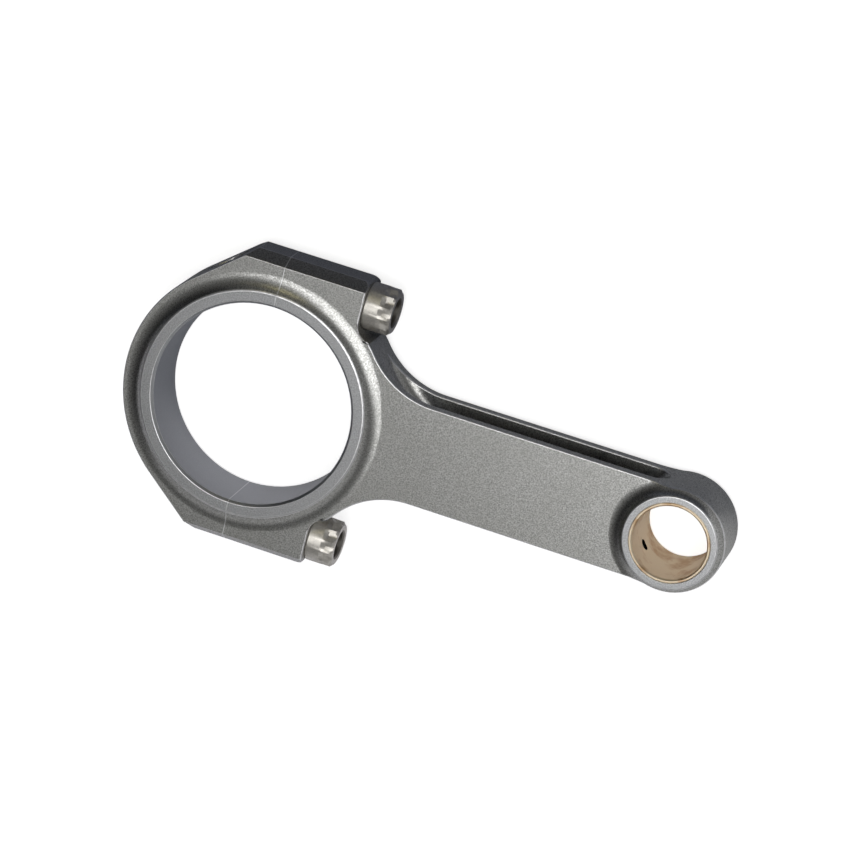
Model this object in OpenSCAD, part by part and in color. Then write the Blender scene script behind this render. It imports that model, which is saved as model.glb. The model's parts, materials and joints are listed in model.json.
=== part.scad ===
// Connecting rod for a short-stroke petrol engine: machined steel rod with an H section
// beam, a split big end held by two twelve-point screws, and a bronze small end bush.
// The origin is the centre of the big end bore. +X points to the small end, +Z along the bores.

/* [Main sizes] */
// Distance between the centres of the two bores
centre_distance = 130; // [128:0.5:134]
// Diameter of the big end bore, with no bearing shells fitted
big_bore_d = 61; // [60:0.5:62]
// Width of the big end across its two thrust faces
big_end_w = 20.8; // [20:0.2:22]
// Diameter of the gudgeon pin bore in the bush
pin_bore_d = 22; // [21.6:0.1:22.4]
// Width of the small end across its two faces
small_end_w = 24.2; // [23:0.2:25]

/* [Forging] */
// Thickness of the barrel, the bosses and the beam
body_t = 16; // [15:0.2:17]
// Outer diameter of the barrel round the big end
barrel_d = 81.6; // [81:0.2:83]
// Outer diameter of the raised thrust rings
big_ring_d = 69; // [68:0.5:70]
// Outer diameter of the barrel round the small end
small_barrel_d = 31.6; // [31:0.2:33]
// Outer diameter of the raised faces of the small end
small_ring_d = 28.2; // [27.6:0.2:29]
// Width of the beam across its flanges
beam_w = 30.4; // [29:0.2:31]
// Radius that sweeps the beam into the big end
sweep_r = 26; // [22:1:32]

/* [Channel] */
// Width of the milled channel between the two flanges
channel_w = 9.7; // [8:0.1:10.4]
// Thickness of the web at its thinnest
web_t = 6.8; // [5:0.2:9]
// Radius of the channel floor where it climbs to the big end
big_runout_r = 40.7; // [39:0.1:41.5]
// Radius of the channel floor where it climbs to the small end
small_runout_r = 25; // [22:0.5:27]

/* [Screws] */
// Distance between the two screw axes
screw_span = 74.2; // [73.6:0.2:75]
// Distance of the screw seats from the parting face
seat_x = 25.1; // [24:0.1:26]
// Thread diameter of the cap screws
thread_d = 9.5; // [9:0.1:9.6]
// Depth that the thread reaches into the cap
thread_depth = 13.5; // [11:0.5:14]
// Diameter of the screw head's collar
head_d = 14.2; // [13.6:0.1:14.6]
// Size of the twelve-point head across its flats
head_flats = 12; // [11:0.1:12.1]
// Height of the screw head
head_h = 8.5; // [7.5:0.1:9.5]

/* [Hidden] */
$fn = 96;

steel = [0.47, 0.47, 0.46];
screw_steel = [0.66, 0.64, 0.60];
bronze = [0.80, 0.62, 0.38];

big_bore_r = big_bore_d / 2;
big_ring_r = big_ring_d / 2;
big_h = big_end_w / 2;
small_h = small_end_w / 2;
face_z = body_t / 2;
barrel_r = barrel_d / 2;
small_r = small_barrel_d / 2;
small_ring_r = small_ring_d / 2;
beam_y = beam_w / 2;
screw_y = screw_span / 2;
clear = 1;              // how far a cut runs past the face that it opens
far = 60;

big_cove_r = 7;         // cove between the big end's ring and the flat of the forging
small_cove_r = 5;       // the same at the small end
cove_step = 5;          // degrees of arc in each band of a cove
bore_chamfer = 0.8;

corner_step = 10;       // degrees of arc in each band of the channel's rounded floor
big_runout_inset = 0.6; // how far inside the barrel the channel would come out at the big end
small_runout_wall = 2.5; // steel left between the end of the channel and the bush

boss_y = 45;            // outer wall of the bolt bosses
boss_corner_r = 2;
boss_chamfer_y = 2.5;
boss_chamfer_z = 4;
shoulder_a = 130;       // direction that the sloping shoulder of the cap faces
pocket_y = 28.2;        // floor of the clearance under each screw head
pocket_r = 5;
neck_r = 12;            // fillet where the beam meets the small end

bush_r = 12;
bush_chamfer = 0.4;     // at the pin bore
bush_outer_chamfer = 0.2;
bush_inset = 0.1;       // depth of the bush's ends below the faces of the small end
oil_d = 3.4;
oil_a = 140;            // direction of the oil holes, from the small end's centre
oil_depth = 6;          // how far the hole's cutter reaches past the bush

shank_clearance = 0.15;
thread_clearance = 0.06;
waist_r = 4.1;          // reduced part of the shank
sleeve_r = 5.55;
sleeve_bore_r = 4.85;
sleeve_h = 4;           // length of the sleeve in each half of the big end
sleeve_edge = 0.2;
sleeve_clearance = 0.03;
sleeve_end_gap = 0.2;   // left beyond each end of the sleeve
sleeve_pocket = sleeve_h + sleeve_end_gap;
spotface_clearance = 0.25;
tip_chamfer = 0.8;
waist_taper = 2;        // length of the taper at the lower end of the waist
shoulder_h = 3;         // full shank left under the head
collar_share = 0.55;    // part of the head's height that is the round collar
collar_edge = 0.4;
head_chamfer_h = 1.6;   // height of the chamfer across the twelve points
head_chamfer_w = 0.5;
recess_r = 4.1;         // lightening recess in the head
recess_h = 4;
recess_cone_h = 1.5;
recess_edge = 0.5;

// Points along an arc, from angle a0 to angle a1 in steps of about the given size
function arc(c, r, a0, a1, step = 3) =
    let (n = max(1, ceil(abs(a1 - a0) / step)))
    [for (i = [0:n]) let (a = a0 + (a1 - a0) * i / n) c + r * [cos(a), sin(a)]];

// The same points below the X axis, in the opposite order, so that they close an outline
function mirrored(points) = [for (i = [len(points) - 1:-1:0]) [points[i][0], -points[i][1]]];

// The fillet that sweeps the beam into the barrel touches both, so its centre follows from them
sweep_c = let (y = beam_y + sweep_r) [sqrt(pow(barrel_r + sweep_r, 2) - y * y), y];
sweep_a = atan2(sweep_c[1], sweep_c[0]);
neck_c = let (y = beam_y + neck_r)
    [centre_distance - sqrt(pow(small_r + neck_r, 2) - y * y), y];
neck_a = atan2(neck_c[1], neck_c[0] - centre_distance);

// The upper edge of the rod, from the parting face to the end of the small end
pocket_exit_a = asin(pocket_y / barrel_r);
upper_edge = concat(
    [[0, boss_y]],
    arc([seat_x - boss_corner_r, boss_y - boss_corner_r], boss_corner_r, 90, 0, 15),
    arc([seat_x + pocket_r, pocket_y + pocket_r], pocket_r, 180, 270, 10),
    arc([0, 0], barrel_r, pocket_exit_a, sweep_a),
    arc(sweep_c, sweep_r, 180 + sweep_a, 270),
    arc(neck_c, neck_r, 270, 180 + neck_a),
    arc([centre_distance, 0], small_r, neck_a, 0)
);

shoulder_x = (barrel_r - boss_y * sin(shoulder_a)) / cos(shoulder_a);
cap_edge = concat([[0, boss_y], [shoulder_x, boss_y]], arc([0, 0], barrel_r, shoulder_a, 180));

// The cove from the edge of a raised ring's face down to the flat of the forging
function cove(ring_r, h, cove_r) =
    let (drop_a = acos(1 - (h - face_z) / cove_r))
    arc([ring_r + cove_r * sin(drop_a), face_z + cove_r], cove_r, 270 - drop_a, 270, cove_step);

module raised_ring(ring_r, h, cove_r) {
    upper = concat([[0, h]], cove(ring_r, h, cove_r));
    rotate_extrude()
        polygon(concat(upper, mirrored(upper)));
}

// A slab with the raised rings of both ends, on the piece of it inside the given outline
module forging(edge) {
    intersection() {
        linear_extrude(small_end_w + 2 * clear, center = true)
            polygon(concat(edge, mirrored(edge)));
        union() {
            cube([4 * centre_distance, centre_distance, body_t], center = true);
            raised_ring(big_ring_r, big_h, big_cove_r);
            translate([centre_distance, 0, 0])
                raised_ring(small_ring_r, small_h, small_cove_r);
        }
    }
}

// A bore with a chamfer at each end, as the solid that is cut away
module bore_cut(r, h, chamfer) {
    rotate_extrude()
        polygon([
            [0, -h - clear], [r + chamfer + clear, -h - clear], [r, chamfer - h],
            [r, h - chamfer], [r + chamfer + clear, h + clear], [0, h + clear]
        ]);
}

// Chamfers along the outer walls of the bolt bosses
module boss_chamfers() {
    for (sy = [-1, 1], sz = [-1, 1])
        scale([1, sy, sz])
            translate([-far / 2, 0, 0])
                rotate([90, 0, 90])
                    linear_extrude(far)
                        polygon([
                            [boss_y - boss_chamfer_y, face_z], [boss_y, face_z - boss_chamfer_z],
                            [boss_y + clear, face_z - boss_chamfer_z], [boss_y + clear, face_z + clear],
                            [boss_y - boss_chamfer_y, face_z + clear]
                        ]);
}

// Half section of the channel: straight walls and a fully rounded floor at the given depth
function channel_profile(depth) =
    let (r = channel_w / 2)
    concat([[0, -r]], arc([depth - r, 0], r, -90, 90, corner_step), [[0, r]]);

module channel_sector(c, r, from, sweep) {
    translate([c[0], c[1], 0])
        rotate([0, 0, from])
            rotate_extrude(angle = sweep, $fn = 180)
                polygon(channel_profile(r));
}

floor_y = web_t / 2;
big_runout_c = let (reach = barrel_r - big_runout_inset + big_runout_r, y = floor_y + big_runout_r)
    [sqrt(reach * reach - y * y), y];
small_runout_c =
    let (reach = bush_r + small_runout_wall + small_runout_r, y = floor_y + small_runout_r)
    [centre_distance - sqrt(reach * reach - y * y), y];

// One milled channel: it climbs along an arc at both ends
module channel() {
    channel_sector(big_runout_c, big_runout_r, 180, 90);
    translate([big_runout_c[0], big_runout_c[1], 0])
        rotate([90, 0, 90])
            linear_extrude(small_runout_c[0] - big_runout_c[0])
                rotate(180)
                    polygon(channel_profile(big_runout_r));
    channel_sector(small_runout_c, small_runout_r, 270, 90);
}

module along_x(x, y) {
    translate([x, y, 0])
        rotate([0, 90, 0])
            children();
}

module oil_holes(r0, r1) {
    for (a = [oil_a, -oil_a])
        translate([centre_distance, 0, 0])
            rotate([0, 0, a])
                along_x(r0, 0)
                    cylinder(d = oil_d, h = r1 - r0, $fn = 32);
}

module rod_body() {
    color(steel)
        difference() {
            forging(upper_edge);
            bore_cut(big_bore_r, big_h, bore_chamfer);
            translate([centre_distance, 0, 0])
                bore_cut(bush_r, small_h, bush_outer_chamfer);
            boss_chamfers();
            channel();
            mirror([0, 1, 0])
                channel();
            for (y = [screw_y, -screw_y]) {
                along_x(-clear, y)
                    cylinder(r = thread_d / 2 + shank_clearance, h = seat_x + 2 * clear);
                along_x(-clear, y)
                    cylinder(r = sleeve_r + sleeve_clearance, h = sleeve_pocket + clear);
                along_x(seat_x, y)
                    cylinder(r = head_d / 2 + spotface_clearance, h = pocket_r);
            }
            oil_holes(bush_r - clear, bush_r + oil_depth);
        }
}

module rod_cap() {
    color(steel)
        difference() {
            forging(cap_edge);
            bore_cut(big_bore_r, big_h, bore_chamfer);
            boss_chamfers();
            for (y = [screw_y, -screw_y]) {
                along_x(-far / 2, y)
                    cylinder(r = thread_d / 2 + thread_clearance, h = far / 2 + clear);
                along_x(-sleeve_pocket, y)
                    cylinder(r = sleeve_r, h = sleeve_pocket + clear);
            }
        }
}

module small_end_bush() {
    r = pin_bore_d / 2;
    h = small_h - bush_inset;
    color(bronze)
        difference() {
            translate([centre_distance, 0, 0])
                rotate_extrude()
                    polygon([
                        [r, bush_chamfer - h], [r + bush_chamfer, -h],
                        [bush_r - bush_outer_chamfer, -h], [bush_r, bush_outer_chamfer - h],
                        [bush_r, h - bush_outer_chamfer], [bush_r - bush_outer_chamfer, h],
                        [r + bush_chamfer, h], [r, h - bush_chamfer]
                    ]);
            oil_holes(r - clear, bush_r + clear);
        }
}

// A cap screw on its own axis, with its seat at z = seat_x and its thread below z = 0
module cap_screw() {
    r = thread_d / 2;
    head_r = head_d / 2;
    tip_r = head_flats / sqrt(3);
    waist_z = sleeve_h + waist_taper;
    neck_z = seat_x - shoulder_h;
    collar_z = seat_x + head_h * collar_share;
    top_z = seat_x + head_h;
    color(screw_steel)
        difference() {
            union() {
                rotate_extrude()
                    polygon([
                        [0, -thread_depth], [r - tip_chamfer, -thread_depth],
                        [r, tip_chamfer - thread_depth], [r, waist_z],
                        [waist_r, waist_z + waist_taper], [waist_r, neck_z - clear],
                        [r, neck_z], [r, seat_x],
                        [head_r - collar_edge, seat_x], [head_r, seat_x + collar_edge],
                        [head_r, collar_z - collar_edge], [head_r - collar_edge, collar_z],
                        [0, collar_z]
                    ]);
                intersection() {
                    translate([0, 0, seat_x + collar_edge])
                        linear_extrude(head_h - collar_edge)
                            for (a = [0, 30])
                                rotate(a)
                                    circle(r = tip_r, $fn = 6);
                    rotate_extrude()
                        polygon([
                            [0, seat_x], [head_r + clear, seat_x],
                            [head_r + clear, top_z - head_chamfer_h],
                            [tip_r - head_chamfer_w, top_z], [0, top_z]
                        ]);
                }
            }
            rotate_extrude()
                polygon([
                    [0, top_z - recess_h - recess_cone_h], [recess_r, top_z - recess_h],
                    [recess_r, top_z - recess_edge], [recess_r + 2 * recess_edge, top_z + recess_edge],
                    [0, top_z + recess_edge]
                ]);
        }
}

module cap_screw_upper() {
    along_x(0, screw_y)
        cap_screw();
}

module cap_screw_lower() {
    along_x(0, -screw_y)
        cap_screw();
}

// A thin sleeve round each screw that lines the cap up with the rod
module dowel_sleeve() {
    color(screw_steel)
        rotate_extrude()
            polygon([
                [sleeve_bore_r, -sleeve_h], [sleeve_r - sleeve_edge, -sleeve_h],
                [sleeve_r, sleeve_edge - sleeve_h], [sleeve_r, sleeve_h - sleeve_edge],
                [sleeve_r - sleeve_edge, sleeve_h], [sleeve_bore_r, sleeve_h]
            ]);
}

module dowel_sleeve_upper() {
    along_x(0, screw_y)
        dowel_sleeve();
}

module dowel_sleeve_lower() {
    along_x(0, -screw_y)
        dowel_sleeve();
}

rod_body();
rod_cap();
small_end_bush();
cap_screw_upper();
cap_screw_lower();
dowel_sleeve_upper();
dowel_sleeve_lower();
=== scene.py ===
import json
import math

import bmesh
import bpy
from mathutils import Matrix, Vector


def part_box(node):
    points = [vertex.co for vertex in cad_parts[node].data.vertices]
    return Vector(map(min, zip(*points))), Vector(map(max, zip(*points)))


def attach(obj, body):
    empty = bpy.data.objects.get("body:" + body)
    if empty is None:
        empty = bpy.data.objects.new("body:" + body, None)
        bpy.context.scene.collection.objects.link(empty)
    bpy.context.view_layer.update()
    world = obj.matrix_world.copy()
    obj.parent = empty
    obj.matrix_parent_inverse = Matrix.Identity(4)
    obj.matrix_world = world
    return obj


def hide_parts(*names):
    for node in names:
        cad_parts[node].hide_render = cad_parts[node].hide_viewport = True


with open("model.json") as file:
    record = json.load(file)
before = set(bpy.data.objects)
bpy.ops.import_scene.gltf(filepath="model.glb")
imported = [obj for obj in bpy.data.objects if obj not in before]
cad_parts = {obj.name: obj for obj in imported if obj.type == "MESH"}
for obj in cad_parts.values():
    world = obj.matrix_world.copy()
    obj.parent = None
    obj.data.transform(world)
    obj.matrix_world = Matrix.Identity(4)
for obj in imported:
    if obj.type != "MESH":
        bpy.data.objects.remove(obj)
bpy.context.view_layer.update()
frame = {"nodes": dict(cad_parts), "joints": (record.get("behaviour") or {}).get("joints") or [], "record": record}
node_objects = frame["nodes"]
mounts = {mount["name"]: mount for mount in frame["record"]["mounts"]}
joints = {joint["name"]: joint for joint in frame["joints"]}
MM = 0.001

# --- Sizes read from the frame ---------------------------------------------------------------
big_bore_r = mounts["big_end_bore"]["dims"]["r_mm"] * MM
pin_bore_r = mounts["small_end_bore"]["dims"]["r_mm"] * MM
small_x = mounts["small_end_bore"]["pos_m"][0]
big_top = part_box("rod_cap")[1].z
small_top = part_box("rod_body")[1].z
seat_x, screw_y, _ = joints["screw_upper_turn"]["pos_m"]

# --- Camera: the photograph's viewing angle --------------------------------------------------
AIM = Vector((0.0499, 0.0071, 0.0))
TOWARDS_CAMERA = Vector((0.19237, 0.32345, 0.92649))
IMAGE_RIGHT = Vector((0.93351, 0.23080, -0.27440))
CAMERA_DISTANCE = 1.12267
LENS_MM = 162.6
SENSOR_MM = 36.0

camera_data = bpy.data.cameras.new("camera")
camera_data.sensor_width = SENSOR_MM
camera_data.lens = LENS_MM
camera_data.clip_start = 0.05
camera_data.clip_end = 50.0
camera = bpy.data.objects.new("camera", camera_data)
bpy.context.scene.collection.objects.link(camera)
back = TOWARDS_CAMERA.normalized()
right = (IMAGE_RIGHT - back * IMAGE_RIGHT.dot(back)).normalized()
axes = Matrix((right, back.cross(right), back)).transposed().to_4x4()
camera.matrix_world = Matrix.Translation(AIM + back * CAMERA_DISTANCE) @ axes
bpy.context.scene.camera = camera
bpy.context.scene.view_settings.view_transform = "Standard"


# --- Node graphs -----------------------------------------------------------------------------
class Graph:
    """A node tree built up from plain calls. A value is a number, a colour or a socket."""

    def __init__(self, tree):
        self.tree = tree
        tree.nodes.clear()

    def new(self, kind, **settings):
        made = self.tree.nodes.new(kind)
        for key, value in settings.items():
            setattr(made, key, value)
        return made

    def put(self, socket, value):
        if isinstance(value, bpy.types.NodeSocket):
            self.tree.links.new(value, socket)
        else:
            socket.default_value = value

    def math(self, operation, a, b=0.0, c=0.0):
        made = self.new("ShaderNodeMath", operation=operation)
        for socket, value in zip(made.inputs, (a, b, c)):
            self.put(socket, value)
        return made.outputs[0]

    def ramp(self, value, low, high, out_low=0.0, out_high=1.0):
        """value mapped from low..high to out_low..out_high, held beyond both ends."""
        made = self.new("ShaderNodeMapRange", clamp=True)
        for socket, number in zip(made.inputs, (value, low, high, out_low, out_high)):
            self.put(socket, number)
        return made.outputs[0]

    def above(self, value, limit, soft=0.03 * MM):
        return self.ramp(value, limit - soft, limit + soft)

    def within(self, value, limit, soft=0.03 * MM):
        return self.ramp(value, limit - soft, limit + soft, 1.0, 0.0)

    def mix(self, factor, a, b):
        made = self.new("ShaderNodeMix", data_type="RGBA")
        self.put(made.inputs[0], factor)
        self.put(made.inputs[6], a)
        self.put(made.inputs[7], b)
        return made.outputs[2]

    def noise(self, vector, scale, detail=2.0, roughness=0.5):
        made = self.new("ShaderNodeTexNoise")
        self.put(made.inputs["Vector"], vector)
        self.put(made.inputs["Scale"], scale)
        self.put(made.inputs["Detail"], detail)
        self.put(made.inputs["Roughness"], roughness)
        return made.outputs[0]

    def tool_marks(self, lines_per_m, detail, *lengths):
        """Noise that changes only along the given lengths, like the marks of a cutter."""
        stretched = self.new("ShaderNodeCombineXYZ")
        for socket, length in zip(stretched.inputs, lengths):
            self.put(socket, self.math("MULTIPLY", length, lines_per_m))
        return self.noise(stretched.outputs[0], 1.0, detail)

    def split(self, vector):
        parts = self.new("ShaderNodeSeparateXYZ")
        self.put(parts.inputs[0], vector)
        return parts.outputs[0], parts.outputs[1], parts.outputs[2]

    def place(self):
        """The point in the shared frame, in metres, at rest: the socket and its three parts."""
        point = self.new("ShaderNodeTexCoord").outputs["Object"]
        return point, *self.split(point)

    def distance(self, *components):
        total = self.math("MULTIPLY", components[0], components[0])
        for part in components[1:]:
            total = self.math("MULTIPLY_ADD", part, part, total)
        return self.math("SQRT", total)

    def bump(self, height, depth, strength):
        made = self.new("ShaderNodeBump")
        self.put(made.inputs["Height"], height)
        self.put(made.inputs["Distance"], depth)
        self.put(made.inputs["Strength"], strength)
        return made.outputs[0]

    def metal(self, colour, roughness, normal):
        shader = self.new("ShaderNodeBsdfPrincipled")
        shader.inputs["Metallic"].default_value = 1.0
        self.put(shader.inputs["Base Color"], colour)
        self.put(shader.inputs["Roughness"], roughness)
        self.put(shader.inputs["Normal"], normal)
        self.put(self.new("ShaderNodeOutputMaterial").inputs[0], shader.outputs[0])


def new_material(name):
    material = bpy.data.materials.new(name)
    material.use_nodes = True
    return material, Graph(material.node_tree)


# --- Materials -------------------------------------------------------------------------------
BIG_END_REACH = 45 * MM
RING_BAND = 0.12 * MM
BORE_CHAMFER = 0.75 * MM
CHANNEL_HALF_W = 4.82 * MM
CHANNEL_START, CHANNEL_END = 50 * MM, 119.5 * MM
CHANNEL_PAINTED_SHADE = 0.6
PARTING_STRIP = 0.15 * MM
DENT_DEPTH, MARK_DEPTH = 0.035 * MM, 0.006 * MM
OIL_ANGLE = math.radians(140)
OIL_R = 1.75 * MM
RECESS_SHADE_R = 4.6 * MM


def oil_hole_shade(g, x, y, z, beyond_r):
    """1 on the walls of the two oil holes, further out than beyond_r, which are painted near black as shade."""
    along_x = g.math("SUBTRACT", x, small_x)
    side = g.math("ABSOLUTE", y)
    across = g.math("MULTIPLY", along_x, math.sin(OIL_ANGLE))
    across = g.math("SUBTRACT", across, g.math("MULTIPLY", side, math.cos(OIL_ANGLE)))
    near_axis = g.math("LESS_THAN", g.distance(across, z), OIL_R)
    outside = g.math("GREATER_THAN", g.distance(along_x, side), beyond_r)
    towards_beam = g.math("LESS_THAN", along_x, 0.0)
    return g.math("MULTIPLY", near_axis, g.math("MULTIPLY", outside, towards_beam))


def forging_material(name):
    """Shot-peened steel, ground bright on the raised rings and finely bored in the big end."""
    material, g = new_material(name)
    point, x, y, z = g.place()
    height = g.math("ABSOLUTE", z)
    big_r = g.distance(x, y)
    small_r = g.distance(g.math("SUBTRACT", x, small_x), y)

    near_big = g.within(big_r, BIG_END_REACH)
    big_ring = g.math("MULTIPLY", g.above(height, big_top - RING_BAND), near_big)
    small_ring = g.above(height, small_top - RING_BAND)
    bore = g.within(big_r, big_bore_r + BORE_CHAMFER, 0.02 * MM)
    ground = g.math("MAXIMUM", g.math("MAXIMUM", big_ring, small_ring), bore)

    grain = g.noise(point, scale=2400.0, detail=2.0, roughness=0.7)
    fine_grain = g.noise(point, scale=6500.0, detail=1.0)
    blotches = g.noise(point, scale=90.0, detail=3.0)
    peened = g.mix(g.ramp(grain, 0.36, 0.64), (0.32, 0.32, 0.307, 1), (0.72, 0.72, 0.705, 1))
    peened = g.mix(g.ramp(blotches, 0.3, 0.7, 0.0, 0.25), peened, (0.44, 0.44, 0.41, 1))
    turned = g.mix(g.ramp(fine_grain, 0.3, 0.7), (0.50, 0.51, 0.53, 1), (0.60, 0.61, 0.625, 1))
    speckled = g.mix(g.ramp(grain, 0.34, 0.66), (0.44, 0.445, 0.455, 1), (0.68, 0.69, 0.70, 1))
    colour = g.mix(ground, peened, g.mix(bore, speckled, turned))

    # Painted shade darkens the channels, and both edges of the parting face are painted near white, partly ground
    # bright and partly a painted highlight.
    shaded_channel = g.math(
        "MULTIPLY", g.within(height, CHANNEL_HALF_W), g.above(x, CHANNEL_START, 3 * MM)
    )
    shaded_channel = g.math("MULTIPLY", shaded_channel, g.within(x, CHANNEL_END, 1 * MM))
    colour = g.mix(g.math("MULTIPLY", shaded_channel, CHANNEL_PAINTED_SHADE), colour, (0.06, 0.065, 0.075, 1))
    # Painted highlight: the strip along the parting line is painted near white, partly a real ground edge.
    parting = g.within(g.math("ABSOLUTE", x), PARTING_STRIP)
    colour = g.mix(parting, colour, (0.90, 0.90, 0.90, 1))
    # Painted shade: the oil holes' walls are painted near black.
    colour = g.mix(oil_hole_shade(g, x, y, z, 0.0), colour, (0.02, 0.02, 0.02, 1))

    radius = g.mix(g.above(x, small_x / 2, 1 * MM), big_r, small_r)
    marks = g.tool_marks(9000.0, 2.0, radius, height)
    peened_roughness = g.ramp(grain, 0.3, 0.7, 0.36, 0.27)
    ground_roughness = g.ramp(marks, 0.3, 0.7, 0.30, 0.38)
    roughness = g.mix(ground, peened_roughness, ground_roughness)
    roughness = g.mix(parting, roughness, (0.45, 0.45, 0.45, 1))
    dents = g.mix(ground, grain, marks)
    depth = g.ramp(ground, 0.0, 1.0, DENT_DEPTH, MARK_DEPTH)
    g.metal(colour, roughness, g.bump(dents, depth, 0.6))
    return material


def edge_wear_and_highlight_material(name, colour):
    """The same metal where an edge has been broken: paler and smoother. Its near-white colour is partly real wear
    and partly a painted highlight along the edges.
    """
    material, g = new_material(name)
    wear = g.noise(g.place()[0], scale=700.0, detail=3.0, roughness=0.6)
    dull = tuple(0.8 * part for part in colour[:3]) + (1,)
    tint = g.mix(g.ramp(wear, 0.35, 0.65), dull, colour)
    g.metal(tint, g.ramp(wear, 0.3, 0.7, 0.42, 0.34), g.bump(wear, 0.005 * MM, 0.5))
    return material


def screw_material(name):
    """Turned and ground screw steel, with fine marks round its axis, and painted shade in its recess."""
    material, g = new_material(name)
    point, x, y, z = g.place()
    marks = g.tool_marks(7000.0, 3.0, x)
    spots = g.noise(point, scale=1500.0, detail=2.0)
    colour = g.mix(g.ramp(spots, 0.35, 0.75), (0.82, 0.79, 0.73, 1), (0.66, 0.635, 0.59, 1))
    # Painted shade: the recess in the head is painted darker.
    off_axis = g.distance(g.math("SUBTRACT", g.math("ABSOLUTE", y), screw_y), z)
    recess = g.math("LESS_THAN", off_axis, RECESS_SHADE_R)
    recess = g.math("MULTIPLY", recess, g.math("GREATER_THAN", x, seat_x))
    colour = g.mix(recess, colour, (0.30, 0.285, 0.26, 1))
    g.metal(colour, g.ramp(marks, 0.3, 0.7, 0.38, 0.48), g.bump(marks, 0.002 * MM, 0.4))
    return material


def bronze_material(name):
    """Finely bored bronze with a few darker stains."""
    material, g = new_material(name)
    point, x, y, z = g.place()
    marks = g.tool_marks(8000.0, 2.0, z)
    stains = g.noise(point, scale=160.0, detail=3.0, roughness=0.6)
    colour = g.mix(g.ramp(stains, 0.48, 0.66), (0.98, 0.83, 0.62, 1), (0.72, 0.50, 0.30, 1))
    # Painted shade: the oil hole through the bush is painted near black.
    hole_shade = oil_hole_shade(g, x, y, z, pin_bore_r + 0.05 * MM)
    colour = g.mix(hole_shade, colour, (0.01, 0.01, 0.01, 1))
    g.metal(colour, g.ramp(marks, 0.3, 0.7, 0.34, 0.42), g.bump(marks, 0.005 * MM, 0.5))
    return material


def paint(node, material):
    for slot in node_objects[node].material_slots:
        slot.material = material


rod_steel = forging_material("peened_steel")
# Painted highlight: the broken edges are near white, partly real wear.
edge_wear_and_highlight = edge_wear_and_highlight_material("rod_edge_wear_and_highlight", (0.97, 0.97, 0.98, 1))
screw_steel = screw_material("screw_steel_satin")
bronze = bronze_material("bush_bronze_bored")
for node in ("rod_body", "rod_cap"):
    paint(node, rod_steel)
    node_objects[node].data.materials.append(edge_wear_and_highlight)
for node in ("dowel_sleeve_upper", "dowel_sleeve_lower"):
    paint(node, screw_steel)
paint("small_end_bush", bronze)


# --- Broken edges and smooth shading on the CAD nodes ----------------------------------------
# An edge is broken where its faces meet at more than BREAK_ABOVE.
BREAK_ABOVE = math.radians(32)
SHARP_ABOVE = math.radians(40)
SCREW_SHARP_ABOVE = math.radians(22)
ROD_BREAK = 0.4 * MM
BUSH_BREAK = 0.08 * MM
SLEEVE_BREAK = 0.05 * MM
# Shares of the full break that the finer edges get
PARTING_SHARE = 0.26
BORE_EDGE_SHARE = 0.35
BOSS_EDGE_SHARE = 0.35
PINCH_SHARE = 0.1


def geometry_graph(name):
    """A geometry tree, with the socket that its input comes from and the one its result goes to."""
    group = bpy.data.node_groups.new(name, "GeometryNodeTree")
    for in_out in ("INPUT", "OUTPUT"):
        group.interface.new_socket("Geometry", in_out=in_out, socket_type="NodeSocketGeometry")
    g = Graph(group)
    return group, g, g.new("NodeGroupInput").outputs[0], g.new("NodeGroupOutput").inputs[0]


def edge_weight_group():
    """Marks each convex edge to be broken, and some edges more finely than others."""
    group, g, start, end = geometry_graph("edge_weights")
    angle = g.new("GeometryNodeInputMeshEdgeAngle").outputs["Signed Angle"]
    place = g.new("GeometryNodeInputPosition").outputs[0]
    x, y, _ = g.split(place)
    big_reach = g.new("ShaderNodeVectorMath", operation="LENGTH")
    g.put(big_reach.inputs[0], place)
    from_big = big_reach.outputs["Value"]
    pin_reach = g.new("ShaderNodeVectorMath", operation="DISTANCE")
    g.put(pin_reach.inputs[0], place)
    g.put(pin_reach.inputs[1], (small_x, 0.0, 0.0))
    from_pin = pin_reach.outputs["Value"]

    parting = g.ramp(g.math("ABSOLUTE", x), 0.0, 0.02 * MM, PARTING_SHARE, 1.0)
    bore_edge = g.ramp(from_big, 34.3 * MM, 34.7 * MM, BORE_EDGE_SHARE, 1.0)
    bolt_boss = g.ramp(g.math("ABSOLUTE", y), 40 * MM, 41 * MM, 1.0, BOSS_EDGE_SHARE)
    small_end = g.ramp(from_pin, 17.2 * MM, 17.6 * MM, PINCH_SHARE, 1.0)
    # The cove all but touches the screws' pockets, which leaves no room for a full break.
    pocket = g.math(
        "MAXIMUM",
        g.ramp(from_big, 38 * MM, 38.4 * MM, 1.0, PINCH_SHARE),
        g.ramp(from_big, 40.95 * MM, 41.25 * MM, PINCH_SHARE, 1.0),
    )
    weight = g.math("GREATER_THAN", angle, BREAK_ABOVE)
    for share in (parting, bore_edge, bolt_boss, small_end, pocket):
        weight = g.math("MULTIPLY", weight, share)

    strip = g.new("GeometryNodeRemoveAttribute")
    g.put(strip.inputs[0], start)
    g.put(strip.inputs["Name"], "custom_normal")
    store = g.new("GeometryNodeStoreNamedAttribute", data_type="FLOAT", domain="EDGE")
    g.put(store.inputs[0], strip.outputs[0])
    g.put(store.inputs["Name"], "bevel_weight_edge")
    g.put(store.inputs["Value"], weight)
    g.put(end, store.outputs[0])
    return group


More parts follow.
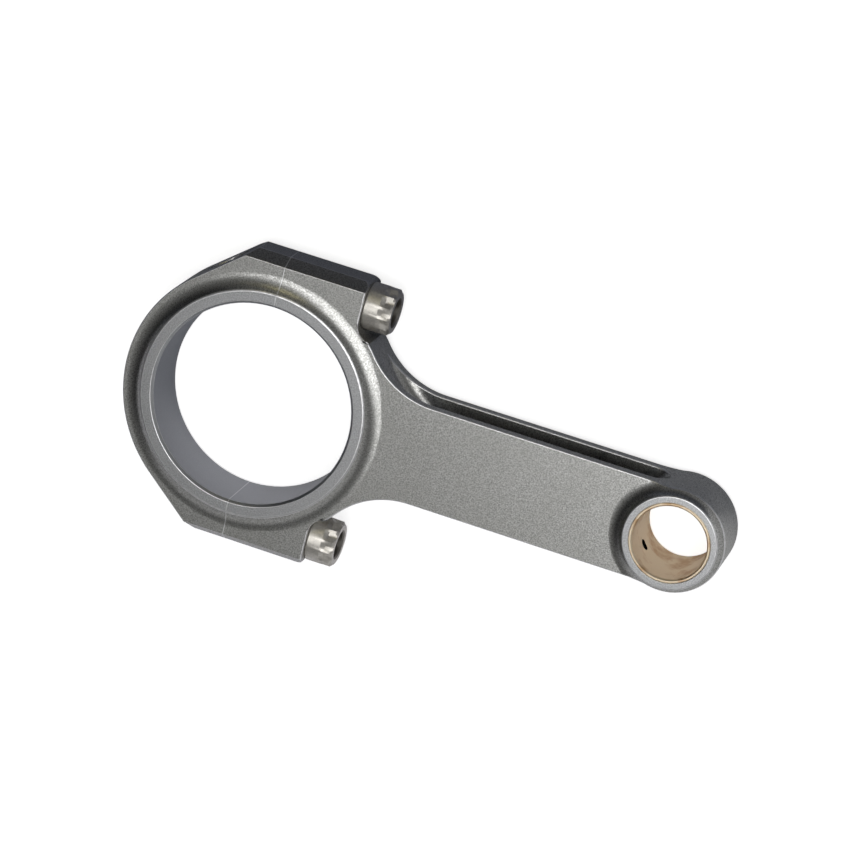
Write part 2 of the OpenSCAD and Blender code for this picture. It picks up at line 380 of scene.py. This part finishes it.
def smooth_group(sharp_above):
    """Shades every face smooth and keeps sharp the edges steeper than sharp_above."""
    group, g, start, end = geometry_graph("smooth_by_angle")
    faces = g.new("GeometryNodeSetShadeSmooth", domain="FACE")
    g.put(faces.inputs[0], start)
    edges = g.new("GeometryNodeSetShadeSmooth", domain="EDGE")
    g.put(edges.inputs[0], faces.outputs[0])
    g.put(edges.inputs["Shade Smooth"], False)
    angle = g.new("GeometryNodeInputMeshEdgeAngle").outputs["Unsigned Angle"]
    g.put(edges.inputs["Selection"], g.math("GREATER_THAN", angle, sharp_above))
    g.put(end, edges.outputs[0])
    return group


weights = edge_weight_group()
smooth = smooth_group(SHARP_ABOVE)
smooth_screws = smooth_group(SCREW_SHARP_ABOVE)


def break_edges(obj, width, segments, edge_slot=-1):
    """Bevels the marked edges. Their faces get the material in edge_slot, or keep their own."""
    weld = obj.modifiers.new("weld", "WELD")
    weld.merge_threshold = 0.001 * MM
    planar = obj.modifiers.new("planar", "DECIMATE")
    planar.decimate_type = "DISSOLVE"
    planar.angle_limit = math.radians(0.5)
    mark = obj.modifiers.new("weights", "NODES")
    mark.node_group = weights
    bevel = obj.modifiers.new("bevel", "BEVEL")
    bevel.limit_method = "WEIGHT"
    bevel.width = width
    bevel.segments = segments
    bevel.use_clamp_overlap = False
    bevel.material = edge_slot
    shade = obj.modifiers.new("shade", "NODES")
    shade.node_group = smooth
    level = obj.modifiers.new("level", "WEIGHTED_NORMAL")
    level.keep_sharp = True


for node in ("rod_body", "rod_cap"):
    worn_slot = len(node_objects[node].material_slots) - 1
    break_edges(node_objects[node], ROD_BREAK, 3, worn_slot)
break_edges(node_objects["small_end_bush"], BUSH_BREAK, 2)
for node in ("dowel_sleeve_upper", "dowel_sleeve_lower"):
    break_edges(node_objects[node], SLEEVE_BREAK, 2)

# --- Cap screws: rolled thread, reduced shank and a twelve-point head -------------------------
SIDES = 96
SCREW_TURN = math.radians(9)
PITCH = 1.06 * MM
ROWS_PER_PITCH = 8
THREAD_R, THREAD_ROOT_R = 4.75 * MM, 4.12 * MM
THREAD_FLANK, THREAD_ROOT_FLAT = 1.3, 0.15
THREAD_LEAD_IN = 0.8 * MM
THREAD_END = 1 * MM
WAIST_R = 4.1 * MM
WAIST_TAPER_START, WAIST_START = 6 * MM, 8 * MM
SHOULDER_H, SHOULDER_TAPER = 3 * MM, 1 * MM
COLLAR_R = 7.1 * MM
COLLAR_EDGE, COLLAR_EDGE_MID = 0.4 * MM, 0.12 * MM
COLLAR_SHARE = 0.52
NOTCH_RUNOUT = 1.3 * MM
POINT_R, NOTCH_R = 7.02 * MM, 6.15 * MM
HALF_POINT = math.radians(15)
FACE_R = 6.2 * MM
HEAD_CHAMFER_H = 0.75 * MM
FACE_EDGE_H, FACE_EDGE_W = 0.08 * MM, 0.12 * MM


def thread_radius(x, part_turn, start):
    """The thread's radius at x, faded out at its end and chamfered at its start."""
    turn = ((x - start) / PITCH - part_turn) % 1.0
    flank = THREAD_FLANK * (1 - 2 * abs(turn - 0.5)) - THREAD_ROOT_FLAT
    radius = THREAD_ROOT_R + (THREAD_R - THREAD_ROOT_R) * min(1.0, max(0.0, flank))
    fade = min(1.0, max(0.0, (x - THREAD_END) / PITCH + 1))
    radius += (THREAD_R - radius) * fade
    return min(radius, THREAD_R - THREAD_LEAD_IN + (x - start))


def thread_rings(start):
    """Rings that follow the helix, each an x and a radius for every side."""
    count = math.ceil((THREAD_END - start) / PITCH * ROWS_PER_PITCH) + ROWS_PER_PITCH + 1
    rings = []
    for i in range(count):
        ring = []
        for k in range(SIDES):
            x = start + PITCH * (i / ROWS_PER_PITCH - 1 + k / SIDES)
            x = min(max(x, start), THREAD_END)
            ring.append((x, thread_radius(x, k / SIDES, start)))
        rings.append(ring)
    return rings


def notched_radius(part_turn):
    """The radius of the twelve-point outline: straight facets between each point and notch."""
    a = abs((part_turn * 2 * math.pi + HALF_POINT) % (2 * HALF_POINT) - HALF_POINT)
    slope = (1 / NOTCH_R - math.cos(HALF_POINT) / POINT_R) / math.sin(HALF_POINT)
    return 1 / (math.cos(a) / POINT_R + slope * math.sin(a))


def head_rings(seat, top):
    """Level rings from the thread's end, over the shank and head, down into the recess."""
    points = [notched_radius(k / SIDES) for k in range(SIDES)]
    collar_end = seat + COLLAR_SHARE * (top - seat)
    shank = [
        (WAIST_TAPER_START, THREAD_R), (WAIST_START, WAIST_R),
        (seat - SHOULDER_H - SHOULDER_TAPER, WAIST_R), (seat - SHOULDER_H, THREAD_R),
        (seat, THREAD_R),
    ]
    collar = [
        (seat, COLLAR_R - COLLAR_EDGE), (seat + COLLAR_EDGE_MID, COLLAR_R - COLLAR_EDGE_MID),
        (seat + COLLAR_EDGE, COLLAR_R), (collar_end, COLLAR_R),
    ]
    head = [
        (collar_end + NOTCH_RUNOUT, points), (top - HEAD_CHAMFER_H, points),
        (top - FACE_EDGE_H, FACE_R), (top, FACE_R - FACE_EDGE_W),
    ]
    # A rounded mouth, a wall with a slight draft, and a drilled cone
    recess = [
        (top, 4.75 * MM), (top - 0.12 * MM, 4.55 * MM), (top - 0.6 * MM, 4.2 * MM),
        (top - 4 * MM, 4.1 * MM), (top - 5.5 * MM, 0.3 * MM),
    ]
    rings = []
    for x, radius in shank + collar + head + recess:
        each = radius if isinstance(radius, list) else [radius] * SIDES
        rings.append([(x, r) for r in each])
    return rings


def ring_faces(count, threaded):
    """A cap at both ends and quads between. Along the thread, the last side of a ring meets
    the first side of the ring one pitch further on."""
    faces = [tuple(range(SIDES))[::-1], tuple(range((count - 1) * SIDES, count * SIDES))]
    last = threaded - 1
    for i in range(count - 1):
        for k in range(SIDES):
            a, b = i * SIDES + k, (i + 1) * SIDES + k
            if k < SIDES - 1:
                c, d = b + 1, a + 1
            elif i >= last:
                c, d = (i + 1) * SIDES, i * SIDES
            else:
                c = min(i + 1 + ROWS_PER_PITCH, last) * SIDES
                d = min(i + ROWS_PER_PITCH, last) * SIDES
            faces.append((a, b, c, d))
    return faces


def screw_piece(name, node, body):
    low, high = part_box(node)
    axis_y = (low.y + high.y) / 2
    threaded = thread_rings(low.x)
    rings = threaded + head_rings(seat_x, high.x)
    vertices = []
    for ring in rings:
        for k, (x, radius) in enumerate(ring):
            a = SCREW_TURN + 2 * math.pi * k / SIDES
            vertices.append((x, axis_y + radius * math.cos(a), radius * math.sin(a)))
    mesh = bpy.data.meshes.new(name)
    mesh.from_pydata(vertices, [], ring_faces(len(rings), len(threaded)))
    shape = bmesh.new()
    shape.from_mesh(mesh)
    bmesh.ops.remove_doubles(shape, verts=shape.verts, dist=0.0005 * MM)
    bmesh.ops.dissolve_degenerate(shape, edges=shape.edges, dist=0.0005 * MM)
    bmesh.ops.recalc_face_normals(shape, faces=shape.faces)
    shape.to_mesh(mesh)
    shape.free()
    mesh.materials.append(screw_steel)
    piece = bpy.data.objects.new(name, mesh)
    bpy.context.scene.collection.objects.link(piece)
    shade = piece.modifiers.new("shade", "NODES")
    shade.node_group = smooth_screws
    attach(piece, body)
    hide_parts(node)


screw_piece("screw_upper_detail", "cap_screw_upper", "screw_upper")
screw_piece("screw_lower_detail", "cap_screw_lower", "screw_lower")

# --- Floor -----------------------------------------------------------------------------------
# The rod rests on the small end's lower face and the big end's lower ring, so the floor tilts.
FLOOR_HALF = 4.0
FLOOR_GAP = 0.02 * MM
SMALL_RIM_R, BIG_RIM_R = 14.1 * MM, 34.5 * MM


def floor_material(name):
    """Pale paper to the camera. Other rays see painted shade, a floor that darkens towards +Y, and painted light,
    pale through the pin's bore and past the small end."""
    material, g = new_material(name)
    point, x, y, _ = g.place()
    paper = g.noise(point, scale=900.0, detail=3.0)
    bright = g.new("ShaderNodeBsdfPrincipled")
    g.put(bright.inputs["Base Color"], g.mix(paper, (0.90, 0.90, 0.90, 1), (0.94, 0.94, 0.94, 1)))
    g.put(bright.inputs["Roughness"], 0.9)
    g.put(bright.inputs["Specular IOR Level"], 0.1)
    g.put(bright.inputs["Emission Color"], (1, 1, 1, 1))
    g.put(bright.inputs["Emission Strength"], g.ramp(g.distance(x, y), 0.4, 1.4, 0.72, 1.0))

    # Painted shade seen in the rod's reflections: the floor darkens towards +Y.
    reflected_floor_shade = (0.90, 0.90, 0.96, 1)
    for near_y, far_y, far_colour in (
        (-28 * MM, -8 * MM, (0.42, 0.43, 0.47, 1)),
        (15 * MM, 40 * MM, (0.17, 0.18, 0.22, 1)),
        (60 * MM, 160 * MM, (0.02, 0.02, 0.022, 1)),
    ):
        reflected_floor_shade = g.mix(g.ramp(y, near_y, far_y), reflected_floor_shade, far_colour)
    # Painted light seen in reflections: pale through the pin's bore and past the small end.
    from_pin = g.distance(g.math("SUBTRACT", x, small_x), y)
    in_pin_bore = g.ramp(from_pin, 13 * MM, 15 * MM, 1.0, 0.0)
    slanted = g.math("SUBTRACT", x, g.math("MULTIPLY", y, 0.6))
    past_end = g.ramp(slanted, small_x + 8 * MM, small_x + 26 * MM)
    dim = g.new("ShaderNodeBsdfDiffuse")
    pale = g.math("MAXIMUM", in_pin_bore, past_end)
    g.put(dim.inputs[0], g.mix(pale, reflected_floor_shade, (0.92, 0.92, 0.94, 1)))

    either = g.new("ShaderNodeMixShader")
    g.put(either.inputs[0], g.new("ShaderNodeLightPath").outputs["Is Camera Ray"])
    g.put(either.inputs[1], dim.outputs[0])
    g.put(either.inputs[2], bright.outputs[0])
    g.put(g.new("ShaderNodeOutputMaterial").inputs[0], either.outputs[0])
    return material


low_small = Vector((small_x - SMALL_RIM_R, 0, -small_top))
low_big = Vector((-BIG_RIM_R, 0, -big_top))
along = (low_small - low_big).normalized()
up = Vector((-along.z, 0, along.x))
corners = [low_small - up * FLOOR_GAP + along * a + Vector((0, b, 0))
           for a, b in ((-FLOOR_HALF, -FLOOR_HALF), (FLOOR_HALF, -FLOOR_HALF),
                        (FLOOR_HALF, FLOOR_HALF), (-FLOOR_HALF, FLOOR_HALF))]
floor_mesh = bpy.data.meshes.new("floor")
floor_mesh.from_pydata(corners, [], [(0, 1, 2, 3)])
floor = bpy.data.objects.new("floor", floor_mesh)
bpy.context.scene.collection.objects.link(floor)
floor_mesh.materials.append(floor_material("pale_floor"))

# --- World: a dark studio round the table, brighter overhead ---------------------------------
WHITE = (1.0, 1.0, 1.0, 1)

world = bpy.data.worlds.new("studio")
bpy.context.scene.world = world
world.use_nodes = True
g = Graph(world.node_tree)
east, north, rise = g.split(g.new("ShaderNodeTexCoord").outputs["Generated"])
overhead = g.ramp(rise, 0.3, 1.0)
overhead.node.interpolation_type = "SMOOTHSTEP"
studio = g.mix(overhead, (0.008, 0.008, 0.010, 1), (0.15, 0.15, 0.147, 1))
# Pale walls low round the studio, brightest on the +X and -Y sides and dark on the -X side
wall = g.ramp(g.math("SUBTRACT", east, north), -1.3, 1.0, 0.11, 0.42)
wall = g.math("MULTIPLY", wall, g.ramp(east, -0.75, -0.55))
wall = g.math("MULTIPLY", wall, g.ramp(rise, 0.34, 0.60, 1.0, 0.0))
studio = g.mix(wall, studio, WHITE)
# The camera itself sees white beyond the floor.
backdrop = g.mix(g.new("ShaderNodeLightPath").outputs["Is Camera Ray"], studio, WHITE)
shader = g.new("ShaderNodeBackground")
g.put(shader.inputs[0], backdrop)
g.put(g.new("ShaderNodeOutputWorld").inputs[0], shader.outputs[0])


# --- Softboxes -------------------------------------------------------------------------------
def softbox(name, towards, distance, width, depth, radiance, colour=(1, 1, 1)):
    """A rectangular light in the direction towards, facing the middle of the rod."""
    data = bpy.data.lights.new(name, "AREA")
    data.shape = "RECTANGLE"
    data.size = width
    data.size_y = depth
    data.energy = radiance * math.pi * width * depth
    data.color = colour
    light = bpy.data.objects.new(name, data)
    bpy.context.scene.collection.objects.link(light)
    aim = Vector((small_x / 2, 0, 0))
    away = Vector(towards).normalized()
    facing = away.to_track_quat("Z", "Y").to_matrix().to_4x4()
    light.matrix_world = Matrix.Translation(aim + away * distance) @ facing


softbox("key_softbox", (0.11, 0.11, 0.99), 1.6, 1.15, 1.38, 2.1)
softbox("olive_fill", (-0.22, 0.72, 0.66), 1.5, 0.36, 0.26, 1.1, (1.0, 0.90, 0.45))

bpy.context.view_layer.update()
